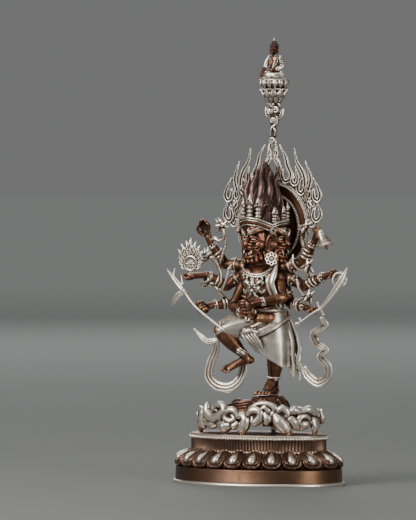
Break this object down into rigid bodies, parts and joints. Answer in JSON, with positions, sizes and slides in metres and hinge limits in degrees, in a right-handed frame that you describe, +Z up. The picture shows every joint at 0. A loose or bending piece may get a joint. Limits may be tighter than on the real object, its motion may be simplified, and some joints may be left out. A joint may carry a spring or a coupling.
{
  "type": "ucchusma statue",
  "caption": "Standing many-armed guardian figure in copper with silver plating, before a flame aureole, on clouds over an oval lotus pedestal.",
  "frame": {"origin": "middle of the pedestal's flat underside", "axes": "+Z up, the statue faces -Y, and +X is the figure's left, the viewer's right"},
  "size_m": [0.1553, 0.0926, 0.3384],
  "materials": {
    "copper": "dark chemical patina with polished high points",
    "silver_plate": "satin silver plating, dark in the recesses"
  },
  "bodies": {
    "root": {"lotus_pedestal": "copper", "cloud_bank": "silver_plate", "rock_mound": "copper", "guardian_figure": "copper", "halo_disc": "copper", "flame_aureole": "silver_plate", "lotus_stem": "silver_plate", "seated_figure": "silver_plate", "flaming_wheel": "silver_plate", "trident": "silver_plate", "bell": "silver_plate", "bell_clapper": "silver_plate", "sword": "silver_plate", "noose": "silver_plate", "leg_scarf": "silver_plate", "hand_scarf": "silver_plate"}
  },
  "joints": []
}
